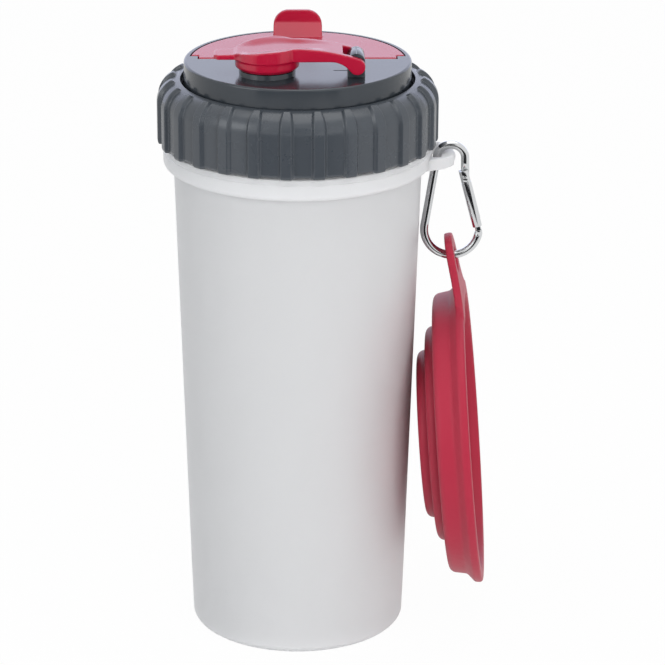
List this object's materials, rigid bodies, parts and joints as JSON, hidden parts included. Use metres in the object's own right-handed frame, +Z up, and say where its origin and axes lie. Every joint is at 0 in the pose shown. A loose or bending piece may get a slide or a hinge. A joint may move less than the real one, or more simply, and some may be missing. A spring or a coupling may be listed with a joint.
{
  "type": "dog travel water bottle",
  "caption": "Two-chamber travel bottle for a dog with a screw ring, flip spout, hinged food flap, snap hook and hanging folding bowl.",
  "frame": {"origin": "centre of the foot ring on the plane the bottle stands on", "axes": "+Z up along the bottle's axis, -Y towards the side with the spout, +X towards the lug that carries the hook and the bowl"},
  "size_m": [0.1355, 0.1248, 0.252],
  "materials": {
    "cup_plastic": "milky frosted, slightly translucent",
    "lid_plastic": "smooth, semi-gloss",
    "ring_plastic": "satin, semi-gloss",
    "red_plastic": "smooth, semi-gloss",
    "seal_silicone": "matte white silicone",
    "bowl_silicone": "soft matte silicone",
    "steel": "polished"
  },
  "bodies": {
    "cup": {"cup": "cup_plastic", "cup_divider": "cup_plastic", "cup_lug": "cup_plastic"},
    "lid": {"lid_disc": "lid_plastic", "lid_gasket": "seal_silicone", "divider_seal": "seal_silicone", "flap_hinge_pins": "steel", "lever_pin": "steel"},
    "ring": {"screw_ring": "ring_plastic"},
    "flap": {"food_flap": "red_plastic", "flap_seal": "seal_silicone"},
    "lever": {"spout_lever": "red_plastic", "spout_stopper": "seal_silicone"},
    "hook": {"hook_body": "steel", "gate_rivet": "steel"},
    "gate": {"hook_gate": "steel", "gate_plunger": "steel", "gate_spring": "steel"},
    "bowl": {"bowl_rim": "bowl_silicone", "bowl_outer_fold": "bowl_silicone"},
    "bowl_mid": {"bowl_middle_ring": "bowl_silicone", "bowl_inner_fold": "bowl_silicone"},
    "bowl_bottom": {"bowl_base": "bowl_silicone"}
  },
  "joints": [
    {"name": "lid_lift", "type": "slide", "parent": "cup", "child": "lid", "axis": [0, 0, 1], "range_m": [0, 0.0145]},
    {"name": "ring_turn", "type": "hinge", "parent": "lid", "child": "ring", "pos_m": [0, 0, 0.215], "axis": [0, 0, 1], "range_deg": [0, 580.5]},
    {"name": "flap", "type": "hinge", "parent": "lid", "child": "flap", "pos_m": [0, 0.0022, 0.23815], "axis": [1, 0, 0], "range_deg": [0, 95]},
    {"name": "lever", "type": "hinge", "parent": "lid", "child": "lever", "pos_m": [0.0231, -0.0212, 0.2448], "axis": [0, 1, 0], "range_deg": [0, 120]},
    {"name": "hook_swing", "type": "hinge", "parent": "cup", "child": "hook", "pos_m": [0.0611, 0, 0.1999], "axis": [0, -1, 0], "range_deg": [0, 75]},
    {"name": "gate", "type": "hinge", "parent": "hook", "child": "gate", "pos_m": [0.06736, 0, 0.19054], "axis": [0, 1, 0], "range_deg": [0, 18], "stiffness_Nm_per_rad": 0.15, "springref_deg": -20.05, "deforming": ["gate_spring"]},
    {"name": "bowl_swing", "type": "hinge", "parent": "hook", "child": "bowl", "pos_m": [0.06223, 0, 0.16901], "axis": [0, -1, 0], "range_deg": [0, 70]},
    {"name": "bowl_unfold_outer", "type": "slide", "parent": "bowl", "child": "bowl_mid", "axis": [-0.9943, 0.0608, -0.0872], "range_m": [0, 0.016], "deforming": ["bowl_outer_fold"]},
    {"name": "bowl_unfold_inner", "type": "slide", "parent": "bowl_mid", "child": "bowl_bottom", "axis": [-0.9943, 0.0608, -0.0872], "range_m": [0, 0.016], "deforming": ["bowl_inner_fold"]}
  ],
  "couplings": [
    {"joint": "ring_turn", "follows": "lid_lift", "rad_per_m": 698.13},
    {"joint": "bowl_unfold_outer", "follows": "bowl_swing", "m_per_rad": 0.013014},
    {"joint": "bowl_unfold_inner", "follows": "bowl_swing", "m_per_rad": 0.013014}
  ]
}
